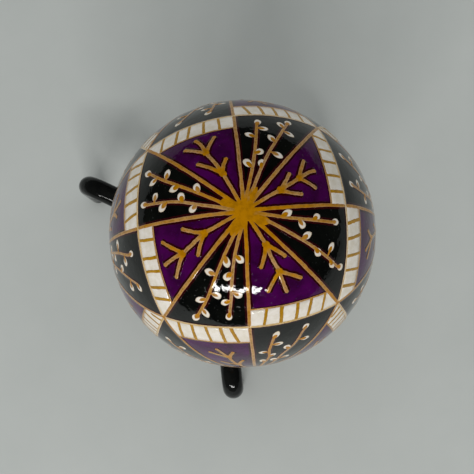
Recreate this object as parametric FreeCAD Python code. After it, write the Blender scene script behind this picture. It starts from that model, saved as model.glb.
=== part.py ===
import FreeCAD, Part
import math
import os

# A blown and dyed egg that stands, blunt end up, in a ring on three bent legs.
# Millimetres and degrees. The origin is on the table under the egg's axis, +Z is up.

# The egg: a hen's egg, widest where its two half-ellipsoids meet
egg_width = 44.0
egg_length = 57.0
blunt_half = 25.5          # from the widest circle up to the blunt end
varnish_wall = 0.15
shell_wall = 0.35
membrane_wall = 0.10
drain_hole_d = 2.0         # the one hole it was blown through, at the pointed end
tip_above_table = 3.0

# The stand: a ring of thick rod, and three bent legs of thinner rod
seat_ring_d = 28.3         # across the ring's centreline
ring_rod_d = 5.0
leg_rod_d = 4.2
seat_gap = 0.15            # running clearance between the egg and its ring
leg_centre = (-5.2, 1.25)  # where the three legs' lines cross, beside the egg's axis
leg_reach = 32.1           # from there to the outside of each foot
leg_azimuths = {"leg_west": 156.2, "leg_south": 276.2, "leg_northeast": 36.2}
knee_height = 12.5         # where a leg's rising run would meet its upright foot
knee_radius = 3.0
foot_round = 0.4
weld_leg = 0.8             # how far a weld bead stands out round its leg
weld_clearance = 0.3       # a bead is dressed back to this far from the egg

egg_radius = egg_width / 2
pointed_half = egg_length - blunt_half
egg_centre_height = tip_above_table + pointed_half
ring_radius = seat_ring_d / 2
ring_rod_radius = ring_rod_d / 2
leg_rod_radius = leg_rod_d / 2


def point(x, y, z):
    return FreeCAD.Vector(x, y, z)


def quarter_ellipse(radius, height):
    """A quarter of an ellipse in the XZ plane, from (radius, 0, 0) to (0, 0, height)."""
    arc = Part.BezierCurve()
    arc.setPoles([point(radius, 0, 0), point(radius, 0, height), point(0, 0, height)])
    arc.setWeight(2, math.sqrt(0.5))
    return arc.toShape()


def solid_egg(inset):
    """The egg's outline drawn in by inset all round, as a solid on the egg's axis."""
    top, tip = blunt_half - inset, -(pointed_half - inset)
    outline = Part.Wire([
        quarter_ellipse(egg_radius - inset, top),
        Part.makeLine(point(0, 0, top), point(0, 0, tip)),
        quarter_ellipse(egg_radius - inset, tip),
    ])
    egg = Part.Face(outline).revolve(point(0, 0, 0), point(0, 0, 1), 360)
    egg.translate(point(0, 0, egg_centre_height))
    return egg


def egg_layer(inset, wall):
    """One closed layer of the egg, open only at the drain hole."""
    drill = Part.makeCylinder(drain_hole_d / 2, egg_centre_height)
    return solid_egg(inset).cut(solid_egg(inset + wall)).cut(drill)


def seat_height():
    """The ring's height: its rod lies seat_gap off the pointed half, all the way round."""
    offset = ring_rod_radius + seat_gap
    low, high = 0.0, math.pi / 2
    for _ in range(60):
        turn = (low + high) / 2
        across, along = pointed_half * math.sin(turn), egg_radius * math.cos(turn)
        slant = math.hypot(across, along)
        if egg_radius * math.sin(turn) + offset * across / slant < ring_radius:
            low = turn
        else:
            high = turn
    return egg_centre_height - pointed_half * math.cos(turn) - offset * along / slant


ring_height = seat_height()


def seat_ring():
    ring = Part.makeTorus(ring_radius, ring_rod_radius)
    ring.translate(point(0, 0, ring_height))
    return ring


def leg_corners(azimuth):
    """The leg's start on the ring's centreline, its knee corner and its foot."""
    ux, uy = math.cos(math.radians(azimuth)), math.sin(math.radians(azimuth))
    cx, cy = leg_centre
    towards = cx * ux + cy * uy
    start = math.sqrt(towards ** 2 - cx ** 2 - cy ** 2 + ring_radius ** 2) - towards
    foot = leg_reach - leg_rod_radius
    return (point(cx + start * ux, cy + start * uy, ring_height),
            point(cx + foot * ux, cy + foot * uy, knee_height),
            point(cx + foot * ux, cy + foot * uy, 0))


def leg(azimuth):
    """A rod along two straight runs and the tangent arc between them, ending flat."""
    start, knee, foot = leg_corners(azimuth)
    inward = (start - knee).normalize()
    down = (foot - knee).normalize()
    opening = inward.getAngle(down)
    before = knee + inward * (knee_radius / math.tan(opening / 2))
    after = knee + down * (knee_radius / math.tan(opening / 2))
    middle = (inward + down).normalize()
    top = knee + middle * (knee_radius / math.sin(opening / 2) - knee_radius)
    path = Part.Wire([
        Part.makeLine(start, before),
        Part.Arc(before, top, after).toShape(),
        Part.makeLine(after, foot),
    ])
    section = Part.Wire(Part.makeCircle(leg_rod_radius, start, start - before))
    rod = path.makePipeShell([section], True, False)
    rim = [edge for edge in rod.Edges if edge.BoundBox.ZMax < foot_round]
    return rod.makeFillet(foot_round, rim)


def weld_bead(azimuth, ring, rod):
    """A ball of weld where the leg meets the ring, less the ring, the leg and the egg's room."""
    start, knee, _ = leg_corners(azimuth)
    along = (knee - start).normalize()
    ball = Part.makeSphere(leg_rod_radius + weld_leg, start + along * ring_rod_radius, along)
    return ball.cut([ring, rod, solid_egg(-weld_clearance)])


ring = seat_ring()
rods = {name: leg(azimuth) for name, azimuth in leg_azimuths.items()}
beads = [weld_bead(azimuth, ring, rods[name]) for name, azimuth in leg_azimuths.items()]

nodes = {
    "varnish_coat": egg_layer(0, varnish_wall),
    "egg_shell": egg_layer(varnish_wall, shell_wall),
    "shell_membrane": egg_layer(varnish_wall + shell_wall, membrane_wall),
    "seat_ring": ring,
    "ring_welds": Part.makeCompound(beads),
}
for name, rod in rods.items():
    nodes[name] = rod.cut(ring)

os.makedirs("parts", exist_ok=True)
for name, shape in nodes.items():
    shape.exportStep(f"parts/{name}.step")
    print(name, len(shape.Solids), "solids,", round(shape.Volume, 2), "mm3, valid", shape.isValid())
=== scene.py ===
import math

import bmesh
import bpy
import numpy as np
from mathutils import Matrix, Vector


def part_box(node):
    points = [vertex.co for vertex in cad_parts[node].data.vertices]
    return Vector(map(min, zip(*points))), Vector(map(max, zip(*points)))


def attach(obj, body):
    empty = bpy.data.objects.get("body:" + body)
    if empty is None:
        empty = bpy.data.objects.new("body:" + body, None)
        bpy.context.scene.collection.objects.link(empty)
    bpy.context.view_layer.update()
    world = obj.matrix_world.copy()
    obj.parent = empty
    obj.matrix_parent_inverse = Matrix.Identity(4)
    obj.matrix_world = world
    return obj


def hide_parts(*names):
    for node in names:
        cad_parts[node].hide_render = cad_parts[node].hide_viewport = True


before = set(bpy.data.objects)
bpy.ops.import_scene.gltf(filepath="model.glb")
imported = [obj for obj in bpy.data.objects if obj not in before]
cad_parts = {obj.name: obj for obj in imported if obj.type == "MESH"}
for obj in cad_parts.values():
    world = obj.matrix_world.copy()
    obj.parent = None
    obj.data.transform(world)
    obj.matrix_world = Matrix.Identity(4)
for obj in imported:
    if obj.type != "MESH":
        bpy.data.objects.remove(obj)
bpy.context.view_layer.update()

scene = bpy.context.scene


# ---- Dyed ground ------------------------------------------------------------
# The shell's surface after its last dye bath: 24 black and 24 purple triangles
# under a thick clear varnish. The hen's egg is two half ellipsoids that meet at
# its widest circle, blunt end up, with a drain hole through the pointed end.

egg_low, egg_high = (np.array(corner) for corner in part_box("varnish_coat"))
egg_radius = (egg_high[0] - egg_low[0]) / 2
blunt_half = 0.0255
pointed_half = egg_high[2] - egg_low[2] - blunt_half
egg_middle = np.array([0.0, 0.0, egg_high[2] - blunt_half])
varnish_wall = 0.00015
dye_depth = 0.00006          # the dyes lie this far inside the varnish's outside
drain_radius = 0.001


def unit(vectors):
    """Each vector divided by its length."""
    return vectors / np.linalg.norm(vectors, axis=-1, keepdims=True)


def half_axes(directions):
    """The radius across, and the blunt or the pointed half along the axis."""
    along = np.where(directions[..., 2:] > 0, blunt_half, pointed_half)
    across = np.full_like(along, egg_radius)
    return np.concatenate([across, across, along], axis=-1)


def egg_normal(directions):
    """The ellipsoid's outward normal: each part of the direction over its half axis."""
    return unit(directions / half_axes(directions))


def on_egg(directions, lift=0.0):
    """The direction times the half axes, then lifted off the dyed ground along the normal."""
    ground = egg_middle + directions * half_axes(directions)
    return ground + egg_normal(directions) * (np.asarray(lift) - dye_depth)[..., None]


def direction_of(places):
    """The direction whose place on the egg lies at each given place."""
    return unit((places - egg_middle) / half_axes(places - egg_middle))


def globe(polar, azimuth):
    """A direction from its angle off the blunt pole and its azimuth, in degrees."""
    tilt, turn = math.radians(polar), math.radians(azimuth)
    return np.array([math.sin(tilt) * math.cos(turn), math.sin(tilt) * math.sin(turn), math.cos(tilt)])


# The maker quarters the egg in pencil and adds the diagonals: six hubs, twelve
# edge middles and eight corners, as on a cube blown up to a ball. Each is named
# by the cube's own whole numbers, such as (0, 1, 1) for an edge.

pen = np.random.default_rng(48)
hub_turn = 5.7
hand_slip = 0.008
measured_division = {         # angle off the pole and azimuth, in degrees, measured round the blunt end
    (0, 0, 1): (0.9, 5.0),
    (0, 1, 1): (42.8, 94.7), (1, 0, 1): (41.7, 7.1),
    (0, -1, 1): (43.3, 273.9), (-1, 0, 1): (41.6, 185.5),
    (1, 1, 1): (56.6, 51.8), (-1, 1, 1): (53.2, 142.4),
    (-1, -1, 1): (53.8, 230.7), (1, -1, 1): (55.3, 319.8),
}


def division_points():
    """Every hub, edge middle and corner as a direction, turned about the axis and a shade off true."""
    cos, sin = math.cos(math.radians(hub_turn)), math.sin(math.radians(hub_turn))
    turning = np.array([[cos, sin, 0], [-sin, cos, 0], [0, 0, 1]])
    found = {}
    for index in np.ndindex(3, 3, 3):
        key = tuple(int(number) - 1 for number in index)
        slip = pen.normal(0, hand_slip, 3)
        if key in measured_division:
            found[key] = globe(*measured_division[key])
        elif key == (0, 0, -1):
            found[key] = np.array(key, float)
        elif key != (0, 0, 0):
            found[key] = unit(unit(np.array(key, float)) @ turning + slip)
    return found


points = division_points()
hubs = [key for key in points if np.abs(key).sum() == 1]
edges = [key for key in points if np.abs(key).sum() == 2]
corners = [key for key in points if np.abs(key).sum() == 3]


def triangle_keys():
    """Each triangle's hub, edge and corner, and whether it is a black one."""
    for hub in hubs:
        for edge in [key for key in edges if np.dot(key, hub) == 1]:
            for corner in [key for key in corners if np.dot(key, edge) == 2]:
                yield hub, edge, corner, np.dot(hub, np.cross(edge, corner)) < 0


triangles = list(triangle_keys())
black_triangles = [triangle for triangle in triangles if triangle[3]]
purple_triangles = [triangle for triangle in triangles if not triangle[3]]


def edge_line(edge, corner, share):
    """Half of a cube edge, middle to corner: a quadratic curve, flat at the middle, on the globe."""
    middle, end = points[edge], points[corner]
    far_corner = tuple(2 * e - c for e, c in zip(edge, corner))
    heading = end - points[far_corner]
    heading = unit(heading - middle * heading.dot(middle))
    knee = middle + heading * np.linalg.norm(end - middle) / 2
    s = np.asarray(share)[..., None]
    return unit((1 - s) ** 2 * middle + 2 * s * (1 - s) * knee + s ** 2 * end)


def in_triangle(triangle, across, up):
    """A place across from the straight spoke, and up from the edge to the hub, both 0 to 1."""
    hub, edge, corner, _ = triangle
    across, up = np.broadcast_arrays(np.asarray(across, float), np.asarray(up, float))
    share = np.clip(across / np.maximum(1 - up, 1e-6), -0.2, 1.2)
    return unit(up[..., None] * points[hub] + (1 - up[..., None]) * edge_line(edge, corner, share))


ground_steps = 30


def ground_directions(triangle):
    """Rows from the hub out to the edge. At the pointed pole they start at the drain hole's rim."""
    hub, edge, corner, _ = triangle
    row, column = np.meshgrid(np.arange(ground_steps + 1), np.arange(ground_steps + 1), indexing="ij")
    share, reach = column / ground_steps, row / ground_steps
    if hub == (0, 0, -1):
        rim = edge_line(edge, corner, share)
        along = rim @ points[hub]
        outward = np.linalg.norm(rim - along[..., None] * points[hub], axis=-1)
        slope = drain_radius / egg_radius
        nearest = slope / (outward + slope * (1 - along))
        reach = nearest + (1 - nearest) * reach
    return in_triangle(triangle, share * reach, 1 - reach)


def grid_faces(rows, columns, start=0):
    """The quads between neighbouring rows and columns, as whole arrays."""
    corner = start + np.arange(rows * columns).reshape(rows, columns)
    quads = np.stack([corner[:-1, :-1], corner[1:, :-1], corner[1:, 1:], corner[:-1, 1:]], axis=-1)
    return quads.reshape(-1, 4)


def make_piece(name, places, faces):
    """A smooth mesh object from corner places and faces."""
    mesh = bpy.data.meshes.new(name)
    mesh.from_pydata(np.asarray(places).tolist(), [], [list(face) for face in faces])
    mesh.polygons.foreach_set("use_smooth", np.ones(len(mesh.polygons), bool))
    mesh.update()
    piece = bpy.data.objects.new(name, mesh)
    scene.collection.objects.link(piece)
    return piece


def dyed_ground():
    """An outer and an inner skin of triangle grids, welded along their edges and joined at the hole."""
    places, faces, dyes = [], [], []
    for triangle in triangles:
        directions = ground_directions(triangle)
        for lift, outside in ((0.0, True), (dye_depth - varnish_wall, False)):
            start = sum(len(block) for block in places)
            quads = grid_faces(ground_steps + 1, ground_steps + 1, start)
            places.append(on_egg(directions, lift).reshape(-1, 3))
            faces.append(quads if outside == triangle[3] else quads[:, ::-1])
            dyes.append(np.full(len(quads), int(triangle[3])))
    piece = make_piece("dyed_ground", np.concatenate(places), np.concatenate(faces))
    piece.data.polygons.foreach_set("material_index", np.concatenate(dyes))
    work = bmesh.new()
    work.from_mesh(piece.data)
    bmesh.ops.remove_doubles(work, verts=work.verts, dist=2e-6)
    bmesh.ops.dissolve_degenerate(work, edges=work.edges, dist=1e-7)
    hole_rims = [edge for edge in work.edges if edge.is_boundary]
    bmesh.ops.bridge_loops(work, edges=hole_rims)
    bmesh.ops.recalc_face_normals(work, faces=work.faces)
    for face in work.faces:
        face.smooth = True
    work.to_mesh(piece.data)
    work.free()
    return piece


def new_material(name):
    """A material, its node tree and its shader."""
    material = bpy.data.materials.new(name)
    material.use_nodes = True
    return material, material.node_tree, material.node_tree.nodes["Principled BSDF"]


def noise(tree, size, detail=3.0, roughness=0.55, distortion=0.0):
    """Noise in the piece's own coordinates, with features of about the given size."""
    coords = tree.nodes.new("ShaderNodeTexCoord")
    node = tree.nodes.new("ShaderNodeTexNoise")
    node.inputs["Scale"].default_value = 1 / size
    node.inputs["Detail"].default_value = detail
    node.inputs["Roughness"].default_value = roughness
    node.inputs["Distortion"].default_value = distortion
    tree.links.new(coords.outputs["Object"], node.inputs["Vector"])
    return node.outputs["Fac"]


def stretch(tree, source, low, high, to_low=0.0, to_high=1.0):
    """A value's range stretched from low..high to another range, and clamped there."""
    node = tree.nodes.new("ShaderNodeMapRange")
    for name, value in (("From Min", low), ("From Max", high), ("To Min", to_low), ("To Max", to_high)):
        node.inputs[name].default_value = value
    tree.links.new(source, node.inputs["Value"])
    return node.outputs["Result"]


def mix(tree, share, first, second):
    """First colour to second by a share; either may be a colour or another node's output."""
    node = tree.nodes.new("ShaderNodeMix")
    node.data_type = "RGBA"
    tree.links.new(share, node.inputs["Factor"])
    for name, colour in (("A", first), ("B", second)):
        if isinstance(colour, tuple):
            node.inputs[name].default_value = (*colour, 1)
        else:
            tree.links.new(colour, node.inputs[name])
    return node.outputs["Result"]


def add_varnish(tree, shader, colour):
    """The clear coat: brushed on thick, with orange peel, slow waves and a few grains of dust."""
    tree.links.new(colour, shader.inputs["Base Color"])
    tree.links.new(stretch(tree, noise(tree, 0.0008), 0.3, 0.7, 0.5, 0.7), shader.inputs["Roughness"])
    shader.inputs["Specular IOR Level"].default_value = 0.0
    shader.inputs["Coat Weight"].default_value = 1.0
    shader.inputs["Coat Roughness"].default_value = 0.0
    shader.inputs["Coat IOR"].default_value = 1.40
    skin = None
    orange_peel = noise(tree, 0.0010, 1.6, 0.5)
    slow_waves = noise(tree, 0.0026, 1.0)
    dust = stretch(tree, noise(tree, 0.00034, 0.0), 0.76, 0.86)
    for height, distance in ((orange_peel, 0.000030), (slow_waves, 0.00005), (dust, 0.000018)):
        bump = tree.nodes.new("ShaderNodeBump")
        bump.inputs["Distance"].default_value = distance
        tree.links.new(height, bump.inputs["Height"])
        if skin:
            tree.links.new(skin, bump.inputs["Normal"])
        skin = bump.outputs["Normal"]
    tree.links.new(skin, shader.inputs["Coat Normal"])


def dye(name, deep, fresh, stain):
    """A last bath that took unevenly: slow clouds between two depths, fine specks of a third."""
    material, tree, shader = new_material(name)
    clouds = stretch(tree, noise(tree, 0.0035, 4.0, 0.6, 0.4), 0.35, 0.65)
    specks = stretch(tree, noise(tree, 0.0003, 2.0), 0.62, 0.8, 0.0, 0.6)
    add_varnish(tree, shader, mix(tree, specks, mix(tree, clouds, deep, fresh), stain))
    return material


ground = dyed_ground()
purple = dye("purple_dye", (0.026, 0.0006, 0.026), (0.060, 0.0006, 0.068), (0.05, 0.001, 0.12))
black = dye("black_dye", (0.0008, 0.0010, 0.0010), (0.0030, 0.0036, 0.0028), (0.002, 0.002, 0.006))
for bath in (purple, black):
    ground.data.materials.append(bath)
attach(ground, "egg")
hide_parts("varnish_coat")


# ---- Division lines ---------------------------------------------------------
# Hot wax from a small funnel pen keeps the gold dye: eight spokes from each hub,
# and twelve paler edges between them. Where the pen rests the gold is deeper,
# and a dark red stain of the second dye creeps under the sides of every line.

line_width = 0.00045
line_height = 0.000035
edge_line_width = line_width * 0.8
knot_size = 0.00085           # where the pen rests at a corner
swell_reach = 0.0018          # how far from a hub the spokes are still swollen
gold_reach = 0.0030           # and how far from it their gold is deeper
stain_red = (0.024, 0.0005, 0.0018)
stained_profile = np.array([            # offset in half widths, lift in line heights, how far out
    (-2.45, -0.30, 1.0), (-2.20, 0.09, 1.0), (-1.08, 0.12, 1.0), (-0.97, 0.28, 0.6), (-0.62, 0.85, 0.3),
    (0.0, 1.00, 0.0), (0.62, 0.85, 0.3), (0.97, 0.28, 0.6), (1.08, 0.12, 1.0), (2.20, 0.09, 1.0),
    (2.45, -0.30, 1.0)])
clean_profile = np.array([
    (-1.0, 0.0, 0.6), (-0.72, 0.66, 0.3), (0.0, 1.00, 0.0), (0.72, 0.66, 0.3), (1.0, 0.0, 0.6)])


def wander(count, waves=3):
    """A slow unevenness along a line, about -1 to 1: a few sines of random phase."""
    run = np.linspace(0, 1, count)
    wave = np.arange(1, waves + 1)[:, None]
    pace = wave * pen.uniform(0.7, 1.4, (waves, 1))
    return (np.sin(2 * np.pi * (pace * run + pen.uniform(0, 1, (waves, 1)))) / wave).sum(axis=0) / 1.8


def ring_faces(rings, around):
    """Quads that join closed rings in a row, and one cap at each end."""
    ring = np.arange(rings * around).reshape(rings, around)
    turned = np.roll(ring, -1, axis=1)
    quads = np.stack([ring[:-1], turned[:-1], turned[1:], ring[1:]], axis=-1).reshape(-1, 4)
    return [*quads.tolist(), ring[0, ::-1].tolist(), ring[-1].tolist()]


def wax_line(directions, width, height=line_height, profile=stained_profile):
    """A low bead along a path: a flat arch for its section, drawn in to a half circle at each end."""
    places = on_egg(directions)
    side = unit(np.cross(np.gradient(places, axis=0), egg_normal(directions)))
    run = np.concatenate([[0], np.cumsum(np.linalg.norm(np.diff(places, axis=0), axis=1))])
    wide = width * (1 + 0.07 * wander(len(run), 6) + pen.normal(0, 0.045, len(run)))
    room = np.clip(np.minimum(run, run[-1] - run) / (wide / 2), 0, 1)
    wide = wide * np.sqrt(np.maximum(1 - (1 - room) ** 2, 0.02))
    shake = line_width * (0.07 * wander(len(run), 5) + pen.normal(0, 0.02, len(run)))
    places = places + side * shake[:, None]
    offsets = profile[:, 0] * wide[:, None] / 2
    lifts = profile[:, 1] * np.minimum(height, wide[:, None] * 0.3) * pen.uniform(0.9, 1.1)
    spread = places[:, None] + side[:, None] * offsets[..., None]
    verts = on_egg(direction_of(spread), lifts).reshape(-1, 3)
    return verts, ring_faces(len(run), len(profile)), np.tile(profile[:, 2], len(run))


class Gathered:
    """Many closed bits of one kind in one mesh, each corner with how far out it is and its depth."""

    def __init__(self):
        self.places, self.faces, self.rims, self.depths, self.count = [], [], [], [], 0

    def add(self, places, faces, rims=0.0, depths=0.0):
        """One closed bit, its faces renumbered to follow the bits before it."""
        self.faces += [[corner + self.count for corner in face] for face in faces]
        self.places.append(places)
        self.rims.append(np.broadcast_to(rims, len(places)))
        self.depths.append(np.broadcast_to(depths, len(places)))
        self.count += len(places)

    def line(self, directions, width, depths=0.0, height=line_height, profile=stained_profile):
        """One wax line, with a depth of gold for each step along it."""
        places, faces, rims = wax_line(directions, width, height, profile)
        depths = np.broadcast_to(depths, len(directions))
        self.add(places, faces, rims, np.repeat(depths, len(profile)))

    def piece(self, name, material):
        """The finished mesh, carrying both values at its corners, on the egg."""
        piece = make_piece(name, np.concatenate(self.places), self.faces)
        for label, values in (("rim", self.rims), ("depth", self.depths)):
            layer = piece.data.attributes.new(label, "FLOAT", "POINT")
            layer.data.foreach_set("value", np.concatenate(values))
        piece.data.materials.append(material)
        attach(piece, "egg")
        return piece


def attribute(tree, name):
    """A value that the mesh carries at its corners."""
    node = tree.nodes.new("ShaderNodeAttribute")
    node.attribute_name = name
    return node.outputs["Fac"]


def plus(tree, first, second, scale):
    """First value plus second times scale."""
    node = tree.nodes.new("ShaderNodeMath")
    node.operation = "MULTIPLY_ADD"
    tree.links.new(second, node.inputs[0])
    node.inputs[1].default_value = scale
    tree.links.new(first, node.inputs[2])
    return node.outputs["Value"]


pooled_shade = 0.78           # how much darker the gold is where the dye pooled


def gold_dye(name, worn, pale_side, full, dull):
    """Gold that is deepest where the wax lay thick: worn along thin lines, paler at their thin sides."""
    material, tree, shader = new_material(name)
    thick = plus(tree, attribute(tree, "depth"), noise(tree, 0.0016, 3.0), 0.9)
    flecks = stretch(tree, noise(tree, 0.00036, 3.0, 0.65), 0.46, 0.62, 0.0, 0.95)
    pooled = stretch(tree, noise(tree, 0.0007, 3.0), 0.42, 0.62)
    deep = tuple(part * pooled_shade for part in full)
    flecked = mix(tree, flecks, worn, dull)
    core = mix(tree, stretch(tree, thick, 0.35, 1.15), flecked, mix(tree, pooled, full, deep))
    thin_sides = plus(tree, attribute(tree, "rim"), thick, -0.5)
    body = mix(tree, stretch(tree, thin_sides, -0.10, 0.30, 0.0, 0.8), core, pale_side)
    stain = stretch(tree, attribute(tree, "rim"), 0.7, 0.95)
    add_varnish(tree, shader, mix(tree, stain, body, stain_red))
    return material


def from_hub(directions, reach):
    """1 at a line's start, fading with the distance from it over the given reach."""
    return np.exp(-np.linalg.norm(on_egg(directions) - on_egg(directions[:1]), axis=1) / reach)


def drop(middle, heading, size, height, rings=5, around=14, lump=0.0, point=0.0, edge=3):
    """A low dome, one less the distance to the power edge, on an oval that may run out to a point."""
    normal = egg_normal(middle)
    forward = unit(heading - normal * heading.dot(normal))
    side = np.cross(normal, forward)
    shrink = np.array([1.0, 0.93, *np.linspace(0.8, 0.12, rings - 2)])
    radius, angle = np.meshgrid(shrink, np.arange(around) * 2 * np.pi / around, indexing="ij")
    from_tip = np.minimum(angle, 2 * np.pi - angle)
    outline = radius * (1 + lump * wander(around, 4) + point * np.exp(-(from_tip / 0.4) ** 2))
    along = outline * np.cos(angle) * size[0] / 2
    across = outline * np.sin(angle) * size[1] / 2 * (1 + 0.2 * np.cos(angle))
    spread = on_egg(middle) + along[..., None] * forward + across[..., None] * side
    lift = height * np.where(radius > 0.99, -0.2, 1 - radius ** edge)
    places = on_egg(direction_of(spread), lift).reshape(-1, 3)
    return places, ring_faces(rings, around), (radius ** 2).reshape(-1)


division_lines = Gathered()
spokes = list(dict.fromkeys((hub, end) for hub, edge, corner, _ in triangles for end in (edge, corner)))
for hub, end in spokes:
    share = np.linspace(0, 1, 52)[:, None]
    path = unit(points[hub] * (1 - share) + points[end] * share)
    if hub == (0, 0, -1):
        path = path[np.linalg.norm(path[:, :2], axis=1) * egg_radius > drain_radius * 1.3]
    width = line_width * (1 + 0.6 * from_hub(path, swell_reach))
    depth = 1.1 * from_hub(path, gold_reach) + 0.15 * wander(len(path)) + pen.uniform(-0.1, 0.45)
    division_lines.line(path, width, depth)
for corner in corners:
    size = knot_size * pen.uniform(0.85, 1.15, 2)
    heading = np.cross(points[corner], [0.3, 0.2, 0.9])
    places, faces, rims = drop(points[corner], heading, size, line_height * 1.1, 5, 16, 0.12)
    division_lines.add(places, faces, rims * 0.1, 1.0)
gold = gold_dye("gold_dye", (0.45, 0.265, 0.090), (0.49, 0.275, 0.155), (0.46, 0.190, 0.001),
                (0.21, 0.115, 0.026))
division_lines.piece("division_lines", gold)

edge_lines = Gathered()
for edge in edges:
    ends = [corner for corner in corners if np.dot(corner, edge) == 2]
    share = np.linspace(0, 1, 36)
    path = np.concatenate([edge_line(edge, ends[0], share[::-1]), edge_line(edge, ends[1], share[1:])])
    edge_lines.line(path, edge_line_width, 0.2 * wander(len(path)) + pen.uniform(0.0, 0.4))
pale_gold = gold_dye("pale_gold_dye", (0.69, 0.52, 0.32), (0.73, 0.60, 0.44), (0.58, 0.38, 0.13),
                     (0.50, 0.32, 0.14))
edge_lines.piece("edge_lines", pale_gold)


# ---- Ladder bands -----------------------------------------------------------
# Along its edge each purple triangle has a band left white from the bare shell,
# shut by a thin gold line and cut into white cells by ochre rungs.

band_share = 0.19
rung_at = np.array([0.155, 0.315, 0.475, 0.625, 0.775])    # near the means of measured bands
upright_rung_at = np.linspace(0.09, 0.88, 8)      # closer set on the four edges that run down the egg
rung_lap = 0.008              # how far a rung runs into the lines at its ends
side_lean = 0.075             # how far a rung leans towards the spoke, away from the blunt end
white_lift = 0.000009
white_depth = 0.00002
white_bands, band_borders, ladder_rungs = Gathered(), Gathered(), Gathered()


def slab(directions, lift, depth):
    """A closed slab over a grid of directions: a top, the same grid lower down, and four walls."""
    rows, columns = directions.shape[:2]
    top = grid_faces(rows, columns)
    outline = np.arange(rows * columns).reshape(rows, columns)
    rim = np.concatenate([outline[0, :-1], outline[:-1, -1], outline[-1, :0:-1], outline[:0:-1, 0]])
    ahead = np.roll(rim, -1)
    below = rows * columns
    walls = np.stack([rim, ahead, ahead + below, rim + below], axis=-1)
    faces = np.concatenate([top, top[:, ::-1] + below, walls])
    upper, lower = on_egg(directions, lift), on_egg(directions, lift - depth)
    a, b, c = upper[0, 0], upper[1, 0], upper[0, 1]
    if np.dot(np.cross(b - a, c - a), a - egg_middle) < 0:
        faces = faces[:, ::-1]
    return np.concatenate([upper.reshape(-1, 3), lower.reshape(-1, 3)]), faces.tolist()


for triangle in purple_triangles:
    share, up = np.meshgrid(np.linspace(0, 1, 40), np.linspace(0, band_share, 6), indexing="ij")
    white_bands.add(*slab(in_triangle(triangle, share * (1 - up), up), white_lift, white_depth))
    inner = in_triangle(triangle, np.linspace(0, 1 - band_share, 44), band_share)
    width = line_width * pen.uniform(0.55, 0.75)
    band_borders.line(inner, width, 0.25 * wander(44) + pen.uniform(0.0, 0.3))
    rungs = upright_rung_at if triangle[1][2] == 0 else rung_at
    for at in rungs + pen.normal(0, 0.010, len(rungs)):
        lean = pen.normal(0, 0.012) + side_lean * (triangle[0] != (0, 0, 1))
        top = min(band_share, 1 - at)
        rise = np.linspace(-rung_lap, top + rung_lap, 12)
        rung = in_triangle(triangle, at + lean * np.linspace(0.5, -0.5, 12), rise)
        ladder_rungs.line(rung, line_width * pen.uniform(1.05, 1.4), pen.uniform(0.4, 1.0),
                          line_height * 0.9, clean_profile)


def bare_shell(name, cream, chalk):
    """Shell that the first wax kept white: cream clouds, a warm stain at the sides, fine pores."""
    material, tree, shader = new_material(name)
    clouds = stretch(tree, noise(tree, 0.0012, 4.0, 0.6), 0.35, 0.65)
    pores = stretch(tree, noise(tree, 0.00016, 1.0), 0.66, 0.78, 0.0, 0.35)
    body = mix(tree, pores, mix(tree, clouds, cream, chalk), (0.50, 0.36, 0.22))
    sides = stretch(tree, attribute(tree, "rim"), 0.6, 1.0, 0.0, 0.7)
    add_varnish(tree, shader, mix(tree, sides, body, (0.45, 0.27, 0.10)))
    return material


white = bare_shell("white_shell", (0.69, 0.63, 0.53), (0.80, 0.75, 0.70))
ochre = gold_dye("ochre_dye", (0.44, 0.25, 0.035), (0.55, 0.36, 0.14), (0.42, 0.21, 0.006),
                 (0.30, 0.15, 0.012))
white_bands.piece("white_bands", white)
band_borders.piece("band_borders", gold)
ladder_rungs.piece("ladder_rungs", ochre)


# ---- Willow stems in the black triangles ------------------------------------
# Two stems rise from the hub in each black triangle, with silky catkins set
# left and right along them and one at the tip: white, with a gold tongue.

stem_width = 0.00041
catkin_size = np.array([0.00152, 0.00106])        # long, wide
catkin_height = 0.00003
tongue_height = 0.00005
root_back = 0.58              # a catkin's stalk leaves the stem this far back, in catkin lengths
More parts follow.
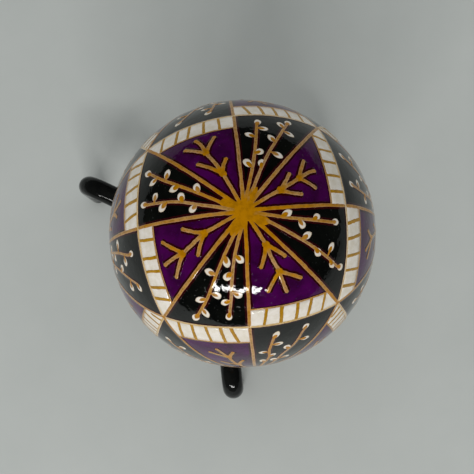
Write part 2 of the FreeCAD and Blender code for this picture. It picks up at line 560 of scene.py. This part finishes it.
# Places across and up in the triangle. The catkins, the tips and the north stems
# were measured, a few then moved, and the other stems led between them.
willow_drawings = [           # north, east, south, west, elsewhere: each stem's path, catkins and tip
    [([(0, 1), (0.04, 0.86), (0.11, 0.66), (0.16, 0.48), (0.19, 0.35), (0.23, 0.17)],
      [(0.08, 0.59), (0.20, 0.49), (0.14, 0.31), (0.28, 0.23)], (0.24, 0.14)),
     ([(0, 1), (0.09, 0.84), (0.22, 0.61), (0.32, 0.46), (0.44, 0.30), (0.55, 0.15)],
      [(0.21, 0.60), (0.37, 0.51), (0.35, 0.35), (0.54, 0.27), (0.49, 0.16)], (0.58, 0.11))],
    [([(0, 1), (0.04, 0.86), (0.09, 0.66), (0.12, 0.48), (0.14, 0.33), (0.16, 0.20)],
      [(0.06, 0.64), (0.16, 0.51), (0.11, 0.37)], (0.16, 0.17)),
     ([(0, 1), (0.10, 0.82), (0.24, 0.60), (0.36, 0.42), (0.47, 0.27), (0.58, 0.14)],
      [(0.27, 0.47), (0.42, 0.36), (0.40, 0.22), (0.55, 0.20)], (0.60, 0.09))],
    [([(0, 1), (0.04, 0.86), (0.11, 0.66), (0.15, 0.48), (0.17, 0.32), (0.20, 0.16)],
      [(0.07, 0.62), (0.19, 0.49), (0.11, 0.34), (0.23, 0.27)], (0.21, 0.13)),
     ([(0, 1), (0.09, 0.84), (0.22, 0.64), (0.32, 0.47), (0.42, 0.29), (0.54, 0.13)],
      [(0.20, 0.60), (0.36, 0.51), (0.32, 0.33), (0.48, 0.28), (0.46, 0.16)], (0.57, 0.10))],
    [([(0, 1), (0.04, 0.86), (0.12, 0.62), (0.18, 0.46), (0.21, 0.30), (0.23, 0.14)],
      [(0.09, 0.58), (0.22, 0.48), (0.16, 0.31), (0.29, 0.23)], (0.24, 0.10)),
     ([(0, 1), (0.09, 0.84), (0.24, 0.62), (0.34, 0.47), (0.45, 0.31), (0.57, 0.16)],
      [(0.29, 0.61), (0.33, 0.42), (0.50, 0.34), (0.47, 0.20)], (0.60, 0.12))],
    [([(0, 1), (0.04, 0.86), (0.10, 0.66), (0.15, 0.48), (0.18, 0.34), (0.22, 0.20)],
      [(0.08, 0.56), (0.18, 0.45), (0.11, 0.34), (0.27, 0.26)], (0.24, 0.15)),
     ([(0, 1), (0.09, 0.84), (0.21, 0.62), (0.32, 0.46), (0.42, 0.32), (0.53, 0.18)],
      [(0.19, 0.55), (0.32, 0.53), (0.35, 0.35), (0.55, 0.28)], (0.58, 0.14))],
]
willow_stems, catkins, catkin_tongues = Gathered(), Gathered(), Gathered()


def smooth_path(knots, count):
    """A Catmull-Rom curve through the knots, at evenly spread parameters."""
    knots = np.asarray(knots, float)
    padded = np.concatenate([2 * knots[:1] - knots[1:2], knots, 2 * knots[-1:] - knots[-2:-1]])
    t = np.linspace(0, len(knots) - 1, count)
    i = np.minimum(t.astype(int), len(knots) - 2)
    f = (t - i)[:, None]
    a, b, c, d = padded[i], padded[i + 1], padded[i + 2], padded[i + 3]
    square, cube = 2 * a - 5 * b + 4 * c - d, 3 * b - a - 3 * c + d
    return 0.5 * (2 * b + (c - a) * f + square * f ** 2 + cube * f ** 3)


def drawing_number(triangle):
    """0 to 3 from the north for the blunt end's triangles, and 4 everywhere else."""
    hub, edge, _, _ = triangle
    return [(0, 1, 1), (1, 0, 1), (0, -1, 1), (-1, 0, 1)].index(edge) if hub == (0, 0, 1) else 4


def redrawn(knots, triangle):
    """The same drawing again, each point a little off, but as drawn round the blunt end."""
    knots = np.asarray(knots, float)
    slip = pen.normal(0, 0.008, knots.shape) * (knots[..., 1:] < 0.95)
    return knots if triangle[0] == (0, 0, 1) else knots + slip


for triangle in black_triangles:
    for knots, buds, tip in willow_drawings[drawing_number(triangle)]:
        flat = smooth_path([*redrawn(knots, triangle), tip], 60)
        path = in_triangle(triangle, flat[:, 0], flat[:, 1])
        near = from_hub(path, 0.0016)
        depth = 1.1 * from_hub(path, gold_reach) + 0.2 * wander(60) + pen.uniform(-0.1, 0.4)
        willow_stems.line(path, stem_width * (1 + 0.9 * near), depth)
        places = on_egg(path)
        for bud in redrawn([*buds, tip], triangle):
            middle = on_egg(in_triangle(triangle, bud[0], bud[1]))
            size = catkin_size * pen.uniform(0.86, 1.08, 2)
            gaps = np.linalg.norm(places - middle, axis=1)
            behind = gaps[:int(np.argmin(gaps)) + 1]
            root = places[int(np.argmin(np.abs(behind - root_back * size[0])))]
            outward = unit(middle - root)
            catkins.add(*drop(direction_of(middle), outward, size, catkin_height, 5, 18, 0.07,
                              pen.uniform(-0.05, 0.28), 4))
            base = middle - outward * size[0] * 0.19
            tongue = size * (pen.uniform(0.70, 0.88), pen.uniform(0.58, 0.74))
            catkin_tongues.add(*drop(direction_of(base), outward, tongue, tongue_height, 5, 14, 0.09,
                                     pen.uniform(0.0, 0.3), 6), pen.uniform(0.2, 1.1))
            stalk = direction_of(np.linspace(root, base, 8))
            catkin_tongues.line(stalk, stem_width * 0.8, 0.6, tongue_height, clean_profile)

willow_stems.piece("willow_stems", gold)
catkins.piece("catkins", white)
catkin_tongues.piece("catkin_tongues", gold)


# ---- Bare twigs in the purple triangles -------------------------------------
# One twig from the hub, forked twice: two side shoots at the first fork and
# three at the second. The wax pools in each fork and at the end of each stroke.

twig_width = 0.00046
fork_size = (0.00115, 0.00100)
# Measured places across and up in the triangle, those of the last one partly moved.
twig_drawings = [             # first fork, its two shoots, second fork, its three shoots
    [(0.16, 0.67), (0.33, 0.55), (0.11, 0.47), (0.27, 0.48), (0.46, 0.39), (0.35, 0.30), (0.16, 0.33)],
    [(0.18, 0.71), (0.12, 0.53), (0.36, 0.58), (0.29, 0.49), (0.18, 0.33), (0.37, 0.30), (0.51, 0.39)],
    [(0.16, 0.65), (0.09, 0.46), (0.37, 0.55), (0.32, 0.44), (0.18, 0.26), (0.42, 0.24), (0.55, 0.32)],
    [(0.16, 0.65), (0.11, 0.51), (0.40, 0.49), (0.30, 0.42), (0.20, 0.26), (0.41, 0.24), (0.52, 0.31)],
    [(0.16, 0.62), (0.11, 0.49), (0.38, 0.52), (0.27, 0.42), (0.20, 0.32), (0.40, 0.28), (0.48, 0.34)],
]
twig_choice = [3, 0, 1, 2, 4]  # the drawing that goes with each drawing number
twigs = Gathered()
for triangle in purple_triangles:
    drawing = twig_drawings[twig_choice[drawing_number(triangle)]]
    first, left, inner, second, *shoots = redrawn(drawing, triangle)
    strokes = [((0, 1), first), (first, left), (first, inner), (first, second)]
    strokes += [(second, shoot) for shoot in shoots]
    for start, end in strokes:
        flat = smooth_path([start, end], 28)
        bow = np.sin(np.linspace(0, np.pi, 28)) * pen.normal(0, 0.006)
        path = in_triangle(triangle, flat[:, 0] + bow, flat[:, 1])
        pool = from_hub(path, 0.0007) + 0.35 * from_hub(path[::-1], 0.0004)[::-1]
        from_top = from_hub(np.concatenate([points[triangle[0]][None], path]), gold_reach)[1:]
        depth = pool + from_top + 0.15 * wander(28) + pen.uniform(-0.1, 0.35)
        twigs.line(path, twig_width * (1 + 0.4 * pool), depth)
    for fork in (first, second):
        place = in_triangle(triangle, *fork)
        onward = points[triangle[2]] - points[triangle[0]]
        places, faces, rims = drop(place, onward, fork_size, line_height * 1.1, lump=0.12)
        twigs.add(places, faces, rims * 0.2, 1.1)
twigs.piece("twigs", gold)


# ---- Hub stars --------------------------------------------------------------
# Twenty strokes start at every hub, so the wax runs together there in one thick
# blot of gold, and runs out furthest between the stems of each black triangle.

star_size = 0.0031
star_height = 0.00005
lobe_height = 0.00004
lobe_up, lobe_share, lobe_size = 0.868, 0.66, (0.0026, 0.00115)    # where each lobe lies, and its size
hub_stars = Gathered()
for hub in hubs:
    if hub != (0, 0, -1):
        heading = unit(np.cross(points[hub], [0.3, 0.2, 0.9]))
        places, faces, rims = drop(points[hub], heading, (star_size, star_size), star_height, 7, 48, 0.15)
        hub_stars.add(places, faces, rims * 0.1, 1.2)
        for triangle in [triangle for triangle in black_triangles if triangle[0] == hub]:
            place = in_triangle(triangle, (1 - lobe_up) * lobe_share, lobe_up)
            size = lobe_size * pen.uniform(0.85, 1.15, 2)
            places, faces, rims = drop(place, place - points[hub], size, lobe_height, 6, 24, 0.15)
            hub_stars.add(places, faces, rims * 0.1, 1.1)
hub_stars.piece("hub_stars", gold)


# ---- Shell and its membrane -------------------------------------------------
# The hen's eggshell behind the dyes and the papery skin left inside it: both
# show only at the drain hole, matt and uncoated.

for node, cream, chalk, grain in (("egg_shell", (0.62, 0.53, 0.42), (0.76, 0.70, 0.61), 0.0006),
                                  ("shell_membrane", (0.70, 0.64, 0.54), (0.80, 0.76, 0.69), 0.0002)):
    matt, tree, shader = new_material(node + "_matt")
    clouds = stretch(tree, noise(tree, grain, 4.0, 0.65), 0.35, 0.65)
    tree.links.new(mix(tree, clouds, cream, chalk), shader.inputs["Base Color"])
    tree.links.new(stretch(tree, noise(tree, grain), 0.3, 0.7, 0.6, 0.85), shader.inputs["Roughness"])
    grit = tree.nodes.new("ShaderNodeBump")
    grit.inputs["Distance"].default_value = 0.00002
    tree.links.new(noise(tree, grain / 2, 3.0), grit.inputs["Height"])
    tree.links.new(grit.outputs["Normal"], shader.inputs["Normal"])
    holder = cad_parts[node]
    holder.data.materials.clear()
    holder.data.materials.append(matt)


# ---- The stand --------------------------------------------------------------
# Three bent steel rods welded to a ring and dipped in thick black enamel, worn
# to grey along the rim of each foot.

enamel, tree, shader = new_material("black_enamel")
clouds = stretch(tree, noise(tree, 0.004, 4.0), 0.35, 0.65)
film = mix(tree, clouds, (0.0035, 0.0038, 0.0038), (0.0075, 0.0080, 0.0075))
coords = tree.nodes.new("ShaderNodeTexCoord")
heights = tree.nodes.new("ShaderNodeSeparateXYZ")
tree.links.new(coords.outputs["Object"], heights.inputs["Vector"])
ragged = plus(tree, heights.outputs["Z"], noise(tree, 0.0007, 4.0), 0.0009)
worn = stretch(tree, ragged, 0.00045, 0.00070, 1.0, 0.0)
tree.links.new(mix(tree, worn, film, (0.16, 0.15, 0.14)), shader.inputs["Base Color"])
smears = stretch(tree, noise(tree, 0.0025, 4.0, 0.65), 0.35, 0.75, 0.07, 0.22)
tree.links.new(smears, shader.inputs["Roughness"])
shader.inputs["Specular IOR Level"].default_value = 0.04
shader.inputs["Coat Weight"].default_value = 0.40
shader.inputs["Coat Roughness"].default_value = 0.02
shader.inputs["Coat IOR"].default_value = 1.40
sag = tree.nodes.new("ShaderNodeBump")
sag.inputs["Distance"].default_value = 0.00018
tree.links.new(noise(tree, 0.0024, 2.5), sag.inputs["Height"])
tree.links.new(sag.outputs["Normal"], shader.inputs["Normal"])
tree.links.new(sag.outputs["Normal"], shader.inputs["Coat Normal"])
for node in ("seat_ring", "leg_west", "leg_south", "leg_northeast"):
    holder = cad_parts[node]
    holder.data.materials.clear()
    holder.data.materials.append(enamel)


# ---- Ring welds -------------------------------------------------------------
# One bead of weld metal runs round each leg where it meets the ring. Each pulse
# of the arc left a ripple, and the enamel has softened them.

ring_low, ring_high = (np.array(corner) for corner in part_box("seat_ring"))
ring_rod_radius = (ring_high[2] - ring_low[2]) / 2
ring_radius = ring_high[0] - ring_rod_radius
ring_height = ring_low[2] + ring_rod_radius
leg_rod_radius = 0.0021
leg_centre = np.array([-0.0052, 0.00125])        # where the three legs' lines cross
leg_reach = 0.0321            # from there to the outside of each foot
leg_azimuths = (156.2, 276.2, 36.2)
knee_height = 0.0125
bead_radius = 0.00078
bead_ripples = 13


def leg_axis(azimuth):
    """The leg's start on the ring's centreline, and the direction it runs out and up in."""
    out = np.array([math.cos(math.radians(azimuth)), math.sin(math.radians(azimuth))])
    along = leg_centre @ out
    start = math.sqrt(along ** 2 - leg_centre @ leg_centre + ring_radius ** 2) - along
    first = np.array([*(leg_centre + start * out), ring_height])
    knee = np.array([*(leg_centre + (leg_reach - leg_rod_radius) * out), knee_height])
    return first, unit(knee - first)


def meeting_curve(azimuth, count):
    """Where the leg's round surface leaves the ring's: found by halving along each of its lines."""
    start, onward = leg_axis(azimuth)
    side = unit(np.cross(onward, [0, 0, 1]))
    over = np.cross(side, onward)
    angle = (np.arange(count) * 2 * np.pi / count)[:, None]
    line = start + leg_rod_radius * (np.cos(angle) * side + np.sin(angle) * over)
    near, far = np.zeros((count, 1)), np.full((count, 1), 0.006)
    for _ in range(30):
        middle = (near + far) / 2
        x, y, z = (line + middle * onward).T
        inside = np.hypot(np.hypot(x, y) - ring_radius, z - ring_height) < ring_rod_radius
        near, far = np.where(inside[:, None], middle, near), np.where(inside[:, None], far, middle)
    return line + near * onward


def weld_bead(azimuth, count=156, around=18):
    """A tube round the meeting curve. Its radius swells in ripples that bow across the bead."""
    curve = meeting_curve(azimuth, count)
    onward = unit(np.roll(curve, -1, axis=0) - np.roll(curve, 1, axis=0))
    outward = unit(curve - curve.mean(axis=0))
    outward = unit(outward - onward * (outward * onward).sum(axis=1, keepdims=True))
    across = np.cross(onward, outward)
    run, turn = np.meshgrid(np.arange(count) * 2 * np.pi / count, np.arange(around) * 2 * np.pi / around,
                            indexing="ij")
    ripple = np.abs(np.cos(run * bead_ripples / 2 + 0.8 * np.cos(turn)))
    slow = 0.05 * np.sin(2 * run + pen.uniform(0, 6)) + 0.04 * np.sin(5 * run + pen.uniform(0, 6))
    radius = (bead_radius * (0.90 + 0.11 * ripple + slow))[..., None]
    swing = np.cos(turn)[..., None] * outward[:, None] + np.sin(turn)[..., None] * across[:, None]
    corner = np.arange(count * around).reshape(count, around)
    ahead = np.roll(corner, -1, axis=0)
    faces = np.stack([corner, np.roll(corner, -1, axis=1), np.roll(ahead, -1, axis=1), ahead], axis=-1)
    return (curve[:, None] + radius * swing).reshape(-1, 3), faces.reshape(-1, 4)


beads = [weld_bead(azimuth) for azimuth in leg_azimuths]
bead_size = len(beads[0][0])
weld_beads = make_piece(
    "weld_beads", np.concatenate([places for places, _ in beads]),
    np.concatenate([faces + bead_size * number for number, (_, faces) in enumerate(beads)]))
weld_beads.data.materials.append(enamel)
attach(weld_beads, "stand")
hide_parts("ring_welds")


# ---- Table, light and camera ------------------------------------------------
# A pale grey table top in soft daylight that is strongest from the north-west.
# Four window panes stand to the south, and the camera is high over the egg.

floor_half = 1.0
floor = make_piece("floor", [(-floor_half, -floor_half, 0), (floor_half, -floor_half, 0),
                             (floor_half, floor_half, 0), (-floor_half, floor_half, 0)], [(0, 1, 2, 3)])
table_top, tree, shader = new_material("pale_table")
mottle = stretch(tree, noise(tree, 0.030, 5.0, 0.6), 0.3, 0.7)
tree.links.new(mix(tree, mottle, (0.500, 0.525, 0.512), (0.535, 0.558, 0.545)), shader.inputs["Base Color"])
shader.inputs["Roughness"].default_value = 0.6
shader.inputs["Specular IOR Level"].default_value = 0.3
floor.data.materials.append(table_top)

world = bpy.data.worlds.new("studio")
world.use_nodes = True
sky = world.node_tree
compass = sky.nodes.new("ShaderNodeTexCoord")
bearing = sky.nodes.new("ShaderNodeSeparateXYZ")
sky.links.new(compass.outputs["Generated"], bearing.inputs["Vector"])
dim_ceiling = stretch(sky, bearing.outputs["Z"], 0.0, 0.8)
dull_room = mix(sky, dim_ceiling, (0.035, 0.037, 0.033), (0.009, 0.009, 0.008))    # what the gloss mirrors
north_west = sky.nodes.new("ShaderNodeVectorMath")
north_west.operation = "DOT_PRODUCT"
north_west.inputs[1].default_value = (-0.50, 0.87, 0)
sky.links.new(compass.outputs["Generated"], north_west.inputs[0])
towards_window = stretch(sky, north_west.outputs["Value"], -1, 1)
daylight = mix(sky, towards_window, (0.240, 0.250, 0.240), (0.750, 0.766, 0.760))
ray = sky.nodes.new("ShaderNodeLightPath")
seen = mix(sky, ray.outputs["Is Glossy Ray"], daylight, dull_room)
sky.links.new(seen, sky.nodes["Background"].inputs["Color"])
scene.world = world
scene.view_settings.view_transform = "Standard"


def looking(place, aim, sideways):
    """A matrix at a place whose -Z axis faces the aim and whose X axis lies along sideways."""
    facing = unit(np.array(place, float) - np.array(aim, float))
    side = unit(np.cross(sideways, facing))
    over = np.cross(facing, side)
    axes = np.stack([side, over, facing], axis=1)
    return Matrix.Translation(place) @ Matrix([[*row, 0] for row in axes.tolist()] + [[0, 0, 0, 1]])


def area_light(name, place, size, power):
    """A rectangular lamp at a place, facing the egg's middle."""
    lamp = bpy.data.lights.new(name, "AREA")
    lamp.shape = "RECTANGLE"
    lamp.size, lamp.size_y = size
    lamp.energy = power
    lamp.color = (1, 0.99, 0.97)
    holder = bpy.data.objects.new(name, lamp)
    holder.matrix_world = looking(place, egg_middle, (0, 0, 1))
    scene.collection.objects.link(holder)


window_panes = [              # how far east and how high, width and height
    (-0.27, 0.395, 0.095, 0.062), (-0.15, 0.41, 0.10, 0.054),
    (-0.02, 0.395, 0.12, 0.050), (0.125, 0.405, 0.14, 0.063),
]
window_south = -0.62
pane_power = 125              # watts for a square metre of pane
for number, (pane_east, pane_up, *pane_size) in enumerate(window_panes):
    power = pane_power * pane_size[0] * pane_size[1]
    area_light(f"window_pane_{number}", (pane_east, window_south, pane_up), pane_size, power)

towards_camera = globe(6.83, 271.6)
camera_distance = 4.85 * egg_radius
camera = bpy.data.objects.new("camera", bpy.data.cameras.new("camera"))
camera.matrix_world = looking(egg_middle + towards_camera * camera_distance, egg_middle, (0, 1, 0))
camera.data.lens = 47.85
camera.data.sensor_width = 36
camera.data.shift_x = -0.0116
camera.data.shift_y = -0.0049
camera.data.clip_start = 0.005
scene.collection.objects.link(camera)
scene.camera = camera
